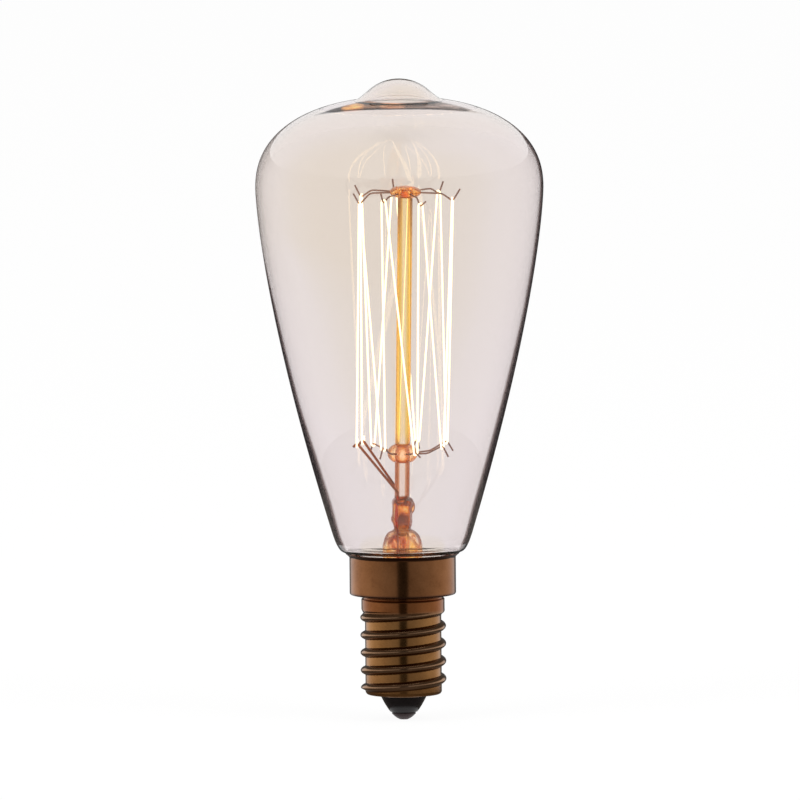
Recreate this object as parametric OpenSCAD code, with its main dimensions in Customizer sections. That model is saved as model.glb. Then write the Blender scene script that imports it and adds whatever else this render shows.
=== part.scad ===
// Squirrel-cage filament lamp: a pear envelope on an Edison screw cap.
// Millimetres, +Z up, cap down. The origin is the middle of the centre contact.

/* [Overall] */
// Height from the centre contact to the top of the nub
overall_h = 102.7; // [98:0.1:112]
// Diameter of the envelope at its widest ring
envelope_d = 46; // [40:0.5:54]
// Thickness of the envelope's glass at its widest ring and in the neck
glass_wall = 0.7; // [0.5:0.05:1]
// Thickness of the glass round the nub, where it was drawn together
crown_wall = 1.6; // [1:0.1:2]
// Thickness of the glass above the shoulder, where it was drawn in
low_wall = 1.05; // [0.8:0.05:1.3]

/* [Envelope] */
// Height of the crown above the widest ring, without the nub
crown_h = 14.5; // [12:0.5:17]
// Roundness of the crown: 2 is an ellipse, more is squarer
crown_power = 2.3; // [2:0.05:2.6]
// Height of the nub's top above the crown
nub_rise = 3; // [2.4:0.1:3.6]
// Radius of the nub's dome
nub_r = 7.3; // [6:0.1:9]
// How late the body draws in: 1 is a straight cone
body_power = 1.47; // [1.2:0.01:1.8]
// Diameter of the body where it rounds under to the neck
shoulder_d = 22.6; // [21:0.2:27]
// Height of that place above the skirt's rim
shoulder_h = 4.4; // [3.6:0.2:6]
// How far the glass stands out over the neck at the rim
overhang = 1.5; // [1:0.1:1.6]

/* [Cap] */
// Diameter of the cap's skirt
skirt_d = 17; // [16.6:0.1:18.4]
// Height of the skirt's straight wall
skirt_h = 5.8; // [5.2:0.1:6.4]
// Height from the centre contact to the skirt's rim
cap_h = 25.9; // [25:0.1:28]
// Thickness of the shell's metal
shell_wall = 0.3; // [0.2:0.05:0.4]
// Diameter over the screw's ridges
thread_d = 13.7; // [13.5:0.05:13.9]
// Height of a ridge over the grooves
ridge_h = 0.75; // [0.6:0.05:0.85]
// Rise of the screw in one turn
thread_pitch = 2.822; // [2.6:0.001:3]
// Width of one ridge at its foot
ridge_w = 1.45; // [1.1:0.05:1.6]
// Depth of the plain band above the screw, below the ridges
land_drop = 0.2; // [0.1:0.05:0.4]
// Height of the plain band
land_h = 1.9; // [1.6:0.1:2.2]
// Height of the shell's lower end above the contact
shell_z = 3.8; // [3.4:0.05:4]
// Diameter of the insulator where it leaves the shell
insulator_d = 7.4; // [6.4:0.1:8]
// Height of the insulator's tip above the contact's face
contact_h = 1.15; // [1:0.05:1.3]
// Diameter of the centre contact's plate
contact_d = 3.8; // [3.6:0.1:4.2]
// Diameter of the flat on the centre contact
contact_flat_d = 1.3; // [1:0.1:2.2]

/* [Stem] */
// Diameter of the stem's glass tube
flare_d = 6.4; // [5.8:0.1:7]
// Thickness of the stem's glass
stem_wall = 0.7; // [0.5:0.05:0.8]
// Height of the top of the press above the skirt's rim
press_rise = 10; // [9:0.25:12]
// Height of the pinched press
press_h = 5.2; // [4.6:0.1:6]
// Thickness of the press on each side of the rod's foot
press_cover = 0.35; // [0.2:0.05:0.6]
// Width of the press, front to back
press_w = 5.8; // [5.4:0.1:6.2]
// Diameter of the glass rod
rod_d = 2.4; // [2:0.1:2.8]
// Lean of the rod to the right, in degrees
rod_lean = 1.1; // [0:0.1:2]
// Diameter of the exhaust tube
exhaust_d = 2.2; // [2:0.1:2.4]
// Diameter of the exhaust tube's bore
exhaust_bore = 1.1; // [0.8:0.1:1.2]

/* [Filament supports] */
// Depth of the button's middle below the top of the nub
button_drop = 18.15; // [16:0.05:22]
// Diameter of the button on top of the rod
button_d = 5.1; // [4.6:0.1:5.6]
// Thickness of the button
button_h = 1.9; // [1.7:0.1:2.4]
// Tilt of the button to the front, in degrees
button_tilt = 4.5; // [0:0.5:6]
// Height of the bead's middle above the press
bead_rise = 6.7; // [5:0.1:9]
// Diameter of the bead on the rod
bead_d = 4.85; // [4.6:0.05:5.6]
// Height of the bead
bead_h = 3.25; // [2.6:0.05:4]
// Diameter of the hooks' wire
hook_wire_d = 0.28; // [0.26:0.02:0.4]
// Radius of the ring of upper hooks
upper_ring_r = 7.4; // [6:0.1:9]
// Radius of the ring of lower hooks
lower_ring_r = 7.35; // [6:0.1:9]
// Depth of the upper hooks' dips below their arms
dip = 0.95; // [0.7:0.05:1.3]
// Height of the lower hooks' crests above the bead's middle
crest = 1.55; // [1.3:0.05:2.2]
// Diameter of the filament
filament_d = 0.3; // [0.24:0.02:0.34]
// Diameter of the two inner leads
lead_d = 0.42; // [0.36:0.02:0.5]
// Radius of the leads' tips from the rod
lead_ring_r = 7.15; // [6:0.05:9]
// Diameter of the seal wires and the outer leads
seal_wire_d = 0.3; // [0.26:0.02:0.34]

/* [Clearances] */
// Gap between the neck's shoulder and the skirt's rim
rim_gap = 0.4; // [0.4:0.05:0.6]
// Thickness of the cement between the neck and the skirt
cement_t = 0.8; // [0.7:0.05:1]
// Gap under the neck's edge, where the side lead passes
neck_seat = 0.7; // [0.6:0.05:1]
// Gap left round glass that is melted onto a wire or a rod
melt_gap = 0.03; // [0.02:0.01:0.05]
// Gap between pieces of the cap
cap_gap = 0.05; // [0.03:0.01:0.08]
// Gap between the filament and the hook that it hangs on
hang_gap = 0.08; // [0.06:0.01:0.12]
// Gap between the filament's ends and the leads over them
clamp_gap = 0.14; // [0.14:0.01:0.2]
// Gap between the rod and the hooks' roots in the glass
root_gap = 0.2; // [0.15:0.05:0.3]

/* [Hidden] */
// Bearings of the upper hooks round the rod, from +X towards the back
upper_at = [195, 242, 289, 350, 403, 464, 523];
// What the hand left in each: how much further out and how much higher its dip lies
upper_bend = [[0.15, -0.65], [0, 0.35], [0, 0], [0.3, 0], [0, 0.1], [0, 0], [0, -0.15]];
// Where each one's end points from its dip: out, sideways and up
upper_end = [
    [1, 0, 1.8], [1.05, 0, 1.95], [1.2, 0.45, 0.95], [1.15, 0, 2],
    [0.9, 0, 1.95], [1.05, 0, 1.95], [1.05, 0, 1.95]
];
// The same of the lower hooks, each between two upper ones
lower_at = [245, 286, 326, 381.5, 431, 491];
lower_bend = [[0, -0.2], [0, -0.85], [0.3, 0], [0.3, 0.1], [0, -0.1], [0, -0.74]];
lower_end = [
    [1.05, 0, -1.7], [0.35, 0.75, -0.8], [1.1, 0, -1.7],
    [1.1, 0, -1.7], [1.05, 0, -1.7], [0.35, 0, -1.1]
];
// Bearings of the front and back leads' tips
lead_at = [187, 510];
UPPER = [for (i = [1:len(upper_at)]) str("upper_hook_", i)];
LOWER = [for (i = [1:len(lower_at)]) str("lower_hook_", i)];
$fn = 64;

// Heights
widest_z = overall_h - nub_rise - crown_h;
shoulder_z = cap_h + shoulder_h;
skirt_z = cap_h - skirt_h;
rim_z = skirt_z + shell_wall + neck_seat;
neck_z = rim_z + stem_wall;
press_z = cap_h + press_rise;
press_foot_z = press_z - press_h;
button_z = overall_h - button_drop;
bead_z = press_z + bead_rise;
floor_drop = 0.35;
floor_z = skirt_z - floor_drop;
land_z = floor_z - land_h;
curl_bore = 0.22;
curl_r = shell_wall + curl_bore;
end_slope = 0.25;
thread_low_z = shell_z + end_slope + curl_r;

// Radii
skirt_r = skirt_d / 2;
skirt_bore = skirt_r - shell_wall;
neck_r = skirt_bore - cement_t;
thread_r = thread_d / 2;
root_r = thread_r - ridge_h;
land_r = thread_r - land_drop;
shell_bore = root_r - shell_wall;
flare_r = flare_d / 2;
rod_r = rod_d / 2;
exhaust_r = exhaust_d / 2;
seal_r = seal_wire_d / 2;
root_start = rod_r + root_gap;
press_t = rod_d + 2 * press_cover;

// Where the seal wires stand in the press, midway between the exhaust tube and the flare
seal_lane = (exhaust_r + flare_r - stem_wall) / 2;
seal_x = -0.7;
seal_y = sqrt(seal_lane * seal_lane - seal_x * seal_x);

// Points from the curve's start to its end, by its two inner handles
function bezier(a, b, c, d, n) = [
    for (i = [0:n])
        let (t = i / n, s = 1 - t)
        s * s * s * a + 3 * s * s * t * b + 3 * s * t * t * c + t * t * t * d
];

// Where the line through p along d meets the line through q along e
function meet(p, d, q, e) =
    let (k = ((q.x - p.x) * e.y - (q.y - p.y) * e.x) / (d.x * e.y - d.y * e.x))
    p + k * d;

// A profile moved in across its own direction, by w or by each point's own w, running down from the axis
function inset(line, w) = [
    for (i = [0:len(line) - 1])
        let (
            a = line[max(i - 1, 0)],
            b = line[min(i + 1, len(line) - 1)],
            t = (b - a) / norm(b - a),
            deep = is_list(w) ? w[i] : w
        )
        i == 0 ? [0, line[0].y - deep] : line[i] + deep * [t.y, -t.x]
];

function ease(x) = let (t = min(max(x, 0), 1)) t * t * (3 - 2 * t);

function backward(line) = [for (i = [len(line) - 1:-1:0]) line[i]];

// The points that lie at least w from a line, each by its own w
function clear_points(points, line, w) = [
    for (i = [0:len(points) - 1])
        if (min([for (q = line) norm(points[i] - q)]) > 0.98 * w[i]) points[i]
];

// Envelope
function crown_point(a) = [
    envelope_d / 2 * pow(sin(a), 2 / crown_power),
    widest_z + crown_h * pow(cos(a), 2 / crown_power)
];

function body_point(s) = [
    envelope_d / 2 - (envelope_d - shoulder_d) / 2 * pow(s, body_power),
    widest_z - (widest_z - shoulder_z) * s
];

// The outside, from the top of the nub to the neck's lower edge: the nub is an arc to nub_end degrees, and
// a fillet joins it to the crown. At the shoulder the glass turns under in a tight corner
function envelope_outline() =
    let (
        nub_end = 42,
        crown_start = 15,
        fillet = 0.67,
        corner_drop = 0.95,
        corner_in = 0.6,
        under_depth = 0.7,
        nub = [for (a = [0:7:nub_end]) [nub_r * sin(a), overall_h - nub_r + nub_r * cos(a)]],
        n = nub[len(nub) - 1],
        c = crown_point(crown_start),
        corner = meet(n, [cos(nub_end), -sin(nub_end)], c, crown_point(crown_start + 1) - c),
        foot = bezier(n, n + fillet * (corner - n), c + fillet * (corner - c), c, 5),
        crown = [for (i = [1:14]) crown_point(crown_start + (90 - crown_start) * i / 14)],
        body = [for (i = [1:14]) body_point(i / 14)],
        s = body_point(1),
        down = (s - body_point(0.98)) / norm(s - body_point(0.98)),
        under = [neck_r + overhang, cap_h + rim_gap],
        round = bezier(s, s + corner_drop * shoulder_h * down, under + [corner_in, 0], under, 8),
        into = bezier(
            under,
            under - [0.8 * overhang, 0],
            [neck_r, cap_h + 0.9 * rim_gap],
            [neck_r, cap_h - under_depth],
            5)
    )
    concat(
        nub,
        [for (i = [1:4]) foot[i]],
        [c],
        crown,
        body,
        [for (i = [1:8]) round[i]],
        [for (i = [1:5]) into[i]],
        [[neck_r, neck_z]]);

// The glass's thickness behind a point of the outside: a thick disc of glass round the nub, thinning out
// over its edge, and a wall that thickens down to the shoulder and thins again into the neck
disc_r = 12.5;
disc_edge = 4;
low_reach = 24;

function wall_at(p) =
    let (
        crown = p.y > widest_z ? ease((disc_r - p.x) / disc_edge) : 0,
        low = ease((shoulder_z + low_reach - p.y) / low_reach) * ease((p.y - cap_h) / shoulder_h)
    )
    glass_wall + (crown_wall - glass_wall) * crown + (low_wall - glass_wall) * low;

module envelope() {
    outside = envelope_outline();
    wall = [for (p = outside) wall_at(p)];
    inside = clear_points(inset(outside, wall), outside, wall);
    color([0.9, 0.86, 0.84, 0.35])
        rotate_extrude($fn = 96) polygon(concat(outside, backward(inside)));
}

// Stem
dome_h = 2.6;
dome_z = press_foot_z + 0.2 - dome_h;
flare_z = cap_h + 0.4;
flare_power = 2.6;
foot_r = neck_r - glass_wall - melt_gap;

// From the top of the dome down the tube and out to the neck's wall
flare_outline = concat(
    [for (a = [0:15:90]) [flare_r * sin(a), dome_z + dome_h * cos(a)]],
    [
        for (i = [0:10])
            let (s = i / 10)
            [flare_r + (foot_r - flare_r) * pow(s, flare_power), flare_z + (neck_z - flare_z) * s]
    ]);

// A rectangle w wide and from z0 up to z1, with two round upper corners
function round_topped(w, z0, z1, r) = concat(
    [[-w / 2, z0], [w / 2, z0]],
    [for (a = [0:15:90]) [w / 2 - r + r * cos(a), z1 - r + r * sin(a)]],
    [for (a = [90:15:180]) [-w / 2 + r + r * cos(a), z1 - r + r * sin(a)]]);

module press_block() {
    intersection() {
        rotate([90, 0, 0])
            linear_extrude(press_w + 2, center = true)
                polygon(round_topped(press_t, press_foot_z - dome_h / 2, press_z, 0.9));
        rotate([90, 0, 90])
            linear_extrude(press_t + 2, center = true)
                polygon(round_topped(press_w, press_foot_z - dome_h / 2, press_z, 1.4));
    }
}

// The blown hole in the side of the press, where the air was drawn out
port_z = press_foot_z + 0.65 * press_h;
rod_depth = 1.1;
tube_depth = 0.4;

module port_lip() {
    lip_r = 1.25;
    lip_sunk = 0.6;
    lip_out = 0.5;
    translate([press_t / 2 - lip_sunk, 0, port_z])
        rotate([0, 90, 0])
            rotate_extrude()
                polygon(concat(
                    [[0, 0], [lip_r, 0]],
                    [for (a = [0:15:60]) [lip_r * cos(a), lip_sunk + lip_out * sin(a)]],
                    [[0, lip_sunk + lip_out * sin(60)]]));
}

module stem_flare() {
    inside = inset(flare_outline, stem_wall);
    low_z = rim_z - 1;
    color([0.83, 0.6, 0.4, 0.6])
        difference() {
            union() {
                rotate_extrude()
                    polygon(concat(flare_outline, [[neck_r, neck_z], [neck_r, rim_z], [0, rim_z]]));
                press_block();
                port_lip();
            }
            rotate_extrude()
                polygon(concat(inside, [[inside[len(inside) - 1].x, low_z], [0, low_z]]));
            // Sockets of the exhaust tube below and of the rod above
            translate([0, 0, rim_z]) cylinder(r = exhaust_r + melt_gap, h = press_foot_z - rim_z + tube_depth);
            on_rod()
                translate([0, 0, press_z - rod_depth - melt_gap])
                    cylinder(r = rod_r + melt_gap, h = 2 * rod_depth);
            // The air's way from the tube to the blown hole
            translate([0, 0, press_foot_z]) cylinder(d = exhaust_bore, h = port_z - press_foot_z);
            translate([0, 0, port_z]) sphere(d = exhaust_bore);
            translate([0, 0, port_z]) rotate([0, 90, 0]) cylinder(d = exhaust_bore, h = press_t);
            for (side = [-1, 1])
                translate([seal_x, side * seal_y, dome_z])
                    cylinder(r = seal_r + melt_gap, h = press_z - dome_z + 1);
        }
}

exhaust_end_z = shell_z + 6;

module exhaust_tube() {
    top = press_foot_z + tube_depth - melt_gap;
    tip = 1.1;
    color([0.85, 0.7, 0.5, 0.6])
        rotate_extrude()
            polygon(concat(
                [[0, exhaust_end_z]],
                [for (a = [15:15:90]) [exhaust_r * sin(a), exhaust_end_z + tip - tip * cos(a)]],
                [[exhaust_r, top], [exhaust_bore / 2, top], [exhaust_bore / 2, exhaust_end_z + 2 * tip]],
                [[0, exhaust_end_z + tip]]));
}

// The rod leans about its foot, and what it carries leans with it
module on_rod() {
    translate([0, 0, press_z]) rotate([0, rod_lean, 0]) translate([0, 0, -press_z]) children();
}

function on_rod(p) =
    let (x = p.x, z = p.z - press_z)
    [x * cos(rod_lean) + z * sin(rod_lean), p.y, press_z - x * sin(rod_lean) + z * cos(rod_lean)];

module on_button() {
    on_rod() translate([0, 0, button_z]) rotate([button_tilt, 0, 0]) children();
}

function on_button(p) = on_rod([
    p.x,
    p.y * cos(button_tilt) - p.z * sin(button_tilt),
    button_z + p.y * sin(button_tilt) + p.z * cos(button_tilt)
]);

// Height of the rod's end over the button's middle
rod_top = 0.15;

module stem_rod() {
    foot_z = press_z - rod_depth;
    color([0.96, 0.76, 0.4, 0.7])
        on_rod() translate([0, 0, foot_z]) cylinder(r = rod_r, h = button_z + rod_top - foot_z);
}

// A flattened ball, d across and h high
module ball(d, h) {
    rotate_extrude()
        polygon([for (a = [-90:10:90]) [max(0, d / 2 * pow(cos(a), 0.8)), h / 2 * sin(a)]]);
}

// The hole that a hook's root fills in the glass, rising outwards by slope
module hook_hole(bearing, slope, length) {
    rotate([0, 0, bearing])
        translate([root_start, 0, 0])
            rotate([0, 90 - slope, 0])
                translate([0, 0, -melt_gap])
                    cylinder(r = hook_wire_d / 2 + melt_gap, h = length);
}

module upper_button() {
    color([0.89, 0.46, 0.18, 0.8])
        difference() {
            on_button() ball(button_d, button_h);
            on_rod()
                translate([0, 0, button_z - button_h])
                    cylinder(r = rod_r + melt_gap, h = button_h + rod_top + melt_gap);
            on_button()
                for (a = upper_at) hook_hole(a, 0, button_d);
        }
}

// How far the lower hooks' first stretch rises, and where it ends inside the ring
lower_arm_rise = 0.3;
lower_arm_back = 2.9;

module lower_bead() {
    color([0.9, 0.7, 0.52, 0.7])
        on_rod()
            translate([0, 0, bead_z])
                difference() {
                    ball(bead_d, bead_h);
                    cylinder(r = rod_r + melt_gap, h = 2 * bead_h, center = true);
                    for (i = [0:len(lower_at) - 1])
                        let (run = lower_ring_r + lower_bend[i].x - lower_arm_back - root_start)
                        hook_hole(lower_at[i], atan(lower_arm_rise / run), bead_d);
                }
}

// Wires. A wire is a tube swept along points, with its rings turned as little as the path allows
function unit(v) = v / norm(v);
function heading(path, i) = unit(path[min(i + 1, len(path) - 1)] - path[max(i - 1, 0)]);
function across(n, t) = unit(n - (n * t) * t);

function side_vectors(path, i = 0, n = [0, 0, 0]) =
    let (
        t = heading(path, i),
        start = abs(t.z) < 0.8 ? [0, 0, 1] : [1, 0, 0],
        now = across(i == 0 ? start : n, t)
    )
    i == len(path) - 1 ? [now] : concat([now], side_vectors(path, i + 1, now));

module wire(path, d, sides = 8) {
    n = side_vectors(path);
    last = len(path) - 1;
    points = [
        for (i = [0:last])
            let (t = heading(path, i), b = cross(t, n[i]))
            for (k = [0:sides - 1])
                path[i] + d / 2 * (cos(360 * k / sides) * n[i] + sin(360 * k / sides) * b)
    ];
    skin = [
        for (i = [0:last - 1])
            for (k = [0:sides - 1])
                let (a = i * sides + k, b = i * sides + (k + 1) % sides)
                each [[a, b, b + sides], [a, b + sides, a + sides]]
    ];
    ends = [
        for (k = [1:sides - 2])
            each [[0, k + 1, k], [last * sides, last * sides + k, last * sides + k + 1]]
    ];
    polyhedron(points, [for (f = concat(skin, ends)) backward(f)]);
}

// A path with each inner corner eased over the distance r either side of it
function eased(path, r) = [
    path[0],
    for (i = [1:len(path) - 2])
        let (p = path[i], a = p - r * unit(p - path[i - 1]), b = p + r * unit(path[i + 1] - p))
        each [a, 0.25 * a + 0.5 * p + 0.25 * b, b],
    path[len(path) - 1]
];

// How far from its corners a hook's wire starts to turn, how far the corner lies past the turn, and the
// place of the turn on the path
ease_r = 0.45;
past_turn = 0.2;
turn_place = 5;

// A hook's points: out from the rod, sideways and up
function upper_outline(i) =
    let (r = upper_ring_r + upper_bend[i].x, dip_point = [r, 0, upper_bend[i].y - dip - past_turn])
    eased([[root_start, 0, 0], [r - 1.75, 0, 0], dip_point, dip_point + upper_end[i]], ease_r);

function lower_outline(i) =
    let (r = lower_ring_r + lower_bend[i].x, crest_point = [r, 0, lower_bend[i].y + crest + past_turn])
    eased(
        [[root_start, 0, 0], [r - lower_arm_back, 0, lower_arm_rise], crest_point, crest_point + lower_end[i]],
        ease_r);

function turned(p, a) = [p.x * cos(a) - p.y * sin(a), p.x * sin(a) + p.y * cos(a), p.z];
function upper_path(i) = [for (p = upper_outline(i)) on_button(turned(p, upper_at[i]))];
function lower_path(i) = [for (p = lower_outline(i)) on_rod([0, 0, bead_z] + turned(p, lower_at[i]))];

module upper_hook(i) {
    color([0.25, 0.22, 0.22]) wire(upper_path(i), hook_wire_d);
}

module lower_hook(i) {
    color([0.25, 0.22, 0.22]) wire(lower_path(i), hook_wire_d);
}

// Inner leads: up from the seal wire, out to the cage, and bent over the filament's end
seal_top_z = press_z + 0.1;
function seal_side(i) = i == 0 ? -1 : 1;

function lead_path(i) =
    let (
        foot = [seal_x, seal_side(i) * seal_y, seal_top_z],
        tip_z = bead_z + crest + past_turn,
        tip = [lead_ring_r * cos(lead_at[i]), lead_ring_r * sin(lead_at[i]), tip_z],
        out = unit([tip.x - foot.x, tip.y - foot.y, 0])
    )
    eased([foot, foot + [0, 0, 0.6], tip, tip + 0.65 * out - [0, 0, 0.6]], 0.35);

module inner_lead(i) {
    color([0.2, 0.17, 0.16]) wire(lead_path(i), lead_d);
}

// Filament: one wire over each upper hook and under each lower hook, from lead to lead.
// Half a turn round a wire, gap clear of it: s is 1 over an upper hook and -1 under a lower one
function half_turn(path, wire_d, gap, s) =
    let (
        out = unit(path[turn_place + 1] - path[turn_place - 1]),
        level = unit([-out.y, out.x, 0]),
        up = cross(out, level),
        r = (wire_d + filament_d) / 2 + gap
    )
    [for (a = [180:-45:0]) path[turn_place] + r * (cos(a) * level + s * sin(a) * up)];

function filament_path() =
    let (
        start = half_turn(lead_path(0), lead_d, clamp_gap, -1),
        finish = backward(half_turn(lead_path(1), lead_d, clamp_gap, -1)),
        loose_end = [0, 0, 0.8]
    )
    concat(
        [start[0] + loose_end],
        start,
        [
            for (i = [0:len(upper_at) - 1])
                each concat(
                    half_turn(upper_path(i), hook_wire_d, hang_gap, 1),
                    i < len(lower_at) ? half_turn(lower_path(i), hook_wire_d, hang_gap, -1) : [])
        ],
        finish,
        [finish[len(finish) - 1] + loose_end]);

// Least gap of the filament to itself, measured between points along it
function between(path, step) = [
    for (i = [0:len(path) - 2])
        let (n = max(1, ceil(norm(path[i + 1] - path[i]) / step)))
        for (k = [0:n - 1]) path[i] + (path[i + 1] - path[i]) * k / n
];

function least_gap(path, d, step, apart) =
    let (p = between(path, step), skip = ceil(apart / step))
    min([for (i = [0:len(p) - 1 - skip], k = [i + skip:len(p) - 1]) norm(p[i] - p[k])]) - d;

module filament() {
    echo(least_filament_gap_mm = least_gap(filament_path(), filament_d, 0.5, 2));
    color([1, 0.93, 0.75]) wire(filament_path(), filament_d, 6);
}

// Seal wires through the press, and the outer leads below them
seal_low_z = press_foot_z - 1.5;
solder_top_z = contact_h - 0.35;
lead_end_z = solder_top_z - 0.35;

module seal_wire(i) {
    color([0.45, 0.2, 0.12])
        translate([seal_x, seal_side(i) * seal_y, seal_low_z])
            cylinder(r = seal_r, h = seal_top_z - seal_low_z);
}

// Down beside the exhaust tube, in under its tip and down through the eyelet
module outer_lead_centre() {
    below_tip = 0.9;
    run_over = 2.1;
    start = [seal_x, -seal_y, seal_low_z];
    turn = [seal_x, -seal_y, exhaust_end_z - below_tip];
    color([0.7, 0.45, 0.3])
        wire(eased([start, turn, [0, 0, turn.z - run_over], [0, 0, lead_end_z]], 0.6), seal_wire_d);
}

// Down inside the flare, out under the neck's edge, up through the cement and over the rim
over_rim_z = cap_h + rim_gap / 2;
side_end_y = skirt_r - 0.1;

function side_path() =
    let (low = skirt_z + shell_wall + neck_seat / 2, lane = skirt_bore - cement_t / 2)
    eased(
        [
            [seal_x, seal_y, seal_low_z],
            [seal_x, seal_y, low],
            [seal_x, lane, low],
            [seal_x, lane, over_rim_z],
            [seal_x, side_end_y, over_rim_z]
        ],
        0.3);

module outer_lead_side() {
    color([0.7, 0.45, 0.3]) wire(side_path(), seal_wire_d);
}

// Cap
corner_r = 0.3;
neck_in = 0.2;

module basing_cement() {
    inner_drop = 0.75;
    outer_drop = 0.3;
    inner_r = land_r - neck_in;
    outer_r = skirt_bore - cap_gap;
    low_z = skirt_z + shell_wall + cap_gap;
    color([0.78, 0.7, 0.58])
        difference() {
            rotate_extrude()
                polygon([
                    [inner_r, rim_z - cap_gap],
                    [neck_r + cap_gap, rim_z - cap_gap],
                    [neck_r + cap_gap, cap_h - inner_drop],
                    [outer_r, cap_h - outer_drop],
                    [outer_r, low_z + corner_r],
                    [outer_r - corner_r, low_z],
                    [inner_r, low_z - floor_drop]
                ]);
            wire(side_path(), seal_wire_d + 2 * cap_gap);
        }
}

// The screw, as a surface: its radius at a bearing a and a height z
first_crest_z = land_z - 1.45;
run_in = 0.6;
run_out = 1.3;
// How far the screw reaches into the plain metal at its two ends, and stands inside its surface
lap = 0.1;
seam = 0.03;

// Round on top and steep at its foot
function ridge(s) = let (u = min(abs(2 * s / ridge_w), 1)) pow(1 - u * u, 0.8);

function screw_r(a, z) =
    let (
        s = z - first_crest_z - thread_pitch * (a - 180) / 360,
        near = s - thread_pitch * round(s / thread_pitch),
        rise = ridge_h * ridge(near) * ease((z - thread_low_z) / run_in),
        f = ease((land_z - z) / run_out)
    )
    (land_r - seam) * (1 - f) + (root_r + rise) * f;

module screw_sleeve(sides = 32, per_turn = 14) {
    low_z = thread_low_z - lap;
    high_z = land_z + lap;
    bore = (shell_bore + 2 * seam) / cos(180 / sides);
    rows = ceil((high_z - low_z) / thread_pitch * per_turn);
    function row_z(k) = low_z + (high_z - low_z) * k / rows;
    function ring(z, r) = [for (i = [0:sides - 1]) let (a = 360 * i / sides) [r * cos(a), r * sin(a), z]];
    outside = [
        for (k = [0:rows], i = [0:sides - 1])
            let (a = 360 * i / sides, r = screw_r(a, row_z(k)))
            [r * cos(a), r * sin(a), row_z(k)]
    ];
    low = len(outside);
    high = low + sides;
    top = rows * sides;
    function band(p, q) = [
        for (i = [0:sides - 1])
            let (j = (i + 1) % sides)
            each [[p + i, q + i, q + j], [p + i, q + j, p + j]]
    ];
    faces = concat(
        [for (k = [0:rows - 1]) each band(k * sides, (k + 1) * sides)],
        band(top, high),
        band(high, low),
        band(low, 0));
    polyhedron(concat(outside, ring(low_z, bore), ring(high_z, bore)), faces);
}

module shell_top() {
    groove_r = land_r - neck_in;
    groove_h = 0.25;
    groove_in = 0.05;
    land_edge = 0.15;
    throat_h = 0.8;
    floor_edge = 0.1;
    rotate_extrude($fn = 96)
        polygon([
            [skirt_r, cap_h],
            [skirt_r, skirt_z + corner_r],
            [skirt_r - 0.3 * corner_r, skirt_z + 0.3 * corner_r],
            [skirt_r - corner_r, skirt_z],
            [groove_r, floor_z],
            [groove_r - groove_in, floor_z - groove_h / 2],
            [groove_r, floor_z - groove_h],
            [land_r, floor_z - groove_h - land_edge],
            [land_r, land_z],
            [shell_bore, land_z],
            [shell_bore, land_z + 2 * lap],
            [land_r - shell_wall, land_z + throat_h],
            [groove_r - shell_wall, floor_z],
            [groove_r - shell_wall + floor_edge, floor_z + shell_wall],
            [skirt_bore - corner_r, skirt_z + shell_wall],
            [skirt_bore, skirt_z + shell_wall + corner_r],
            [skirt_bore, cap_h]
        ]);
}

// A quarter turn in from the screw's wall, round a centre curl_r inside it
curl_x = root_r + seam - curl_r;
function curl(r) = [for (a = [0:-15:-90]) [curl_x + r * cos(a), thread_low_z + r * sin(a)]];

module shell_end() {
    mouth_r = insulator_d / 2 + cap_gap;
    rotate_extrude($fn = 96)
        polygon(concat(
            curl(curl_r),
            [[mouth_r, shell_z], [mouth_r, shell_z + shell_wall]],
            backward(curl(curl_r - shell_wall))));
}

module screw_shell() {
    color([0.62, 0.45, 0.27]) {
        shell_top();
        screw_sleeve();
        shell_end();
    }
}

// The cap's end is round below the shell, from the contact's flat out: its height at a radius r
function nose_z(r) =
    let (flat_r = contact_flat_d / 2, end_r = insulator_d / 2)
    shell_z * (r * r - flat_r * flat_r) / (end_r * end_r - flat_r * flat_r);

function nose(a, b, n) = [for (i = [0:n]) let (r = a + (b - a) * i / n) [r, nose_z(r)]];

eyelet_r = 0.75;
insulator_top_z = thread_low_z + 1.2;

module insulator() {
    flange_r = curl_r - shell_wall - seam - cap_gap;
    color([0.12, 0.1, 0.11])
        rotate_extrude()
            polygon(concat(
                [[eyelet_r + cap_gap, contact_h], [contact_d / 2 + cap_gap, contact_h]],
                nose(contact_d / 2 + 0.3, insulator_d / 2, 6),
                [[insulator_d / 2, shell_z + shell_wall + cap_gap]],
                backward(curl(flange_r)),
                [[curl_x + flange_r, insulator_top_z], [eyelet_r + cap_gap, insulator_top_z]]));
}

lead_bore_r = seal_r + cap_gap;

module contact_eyelet() {
    edge = 0.1;
    collar_w = 0.4;
    collar_h = 0.25;
    collar_z = insulator_top_z + cap_gap;
    color([0.4, 0.34, 0.3])
        rotate_extrude()
            polygon([
                [lead_bore_r, solder_top_z],
                [contact_d / 2 - edge, solder_top_z],
                [contact_d / 2, solder_top_z + edge],
                [contact_d / 2, contact_h - cap_gap],
                [eyelet_r, contact_h - cap_gap],
                [eyelet_r, collar_z],
                [eyelet_r + collar_w, collar_z],
                [eyelet_r + collar_w - edge, collar_z + collar_h],
                [lead_bore_r, collar_z + collar_h]
            ]);
}

module centre_solder() {
    pocket_z = lead_end_z - melt_gap;
    flat_r = contact_flat_d / 2;
    edge_r = contact_d / 2 - 0.2;
    color([0.3, 0.26, 0.26])
        rotate_extrude()
            polygon(concat(
                nose(flat_r, edge_r, 6),
                [[edge_r, solder_top_z]],
                [[lead_bore_r, solder_top_z], [lead_bore_r, pocket_z], [0, pocket_z], [0, 0]]));
}

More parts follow.
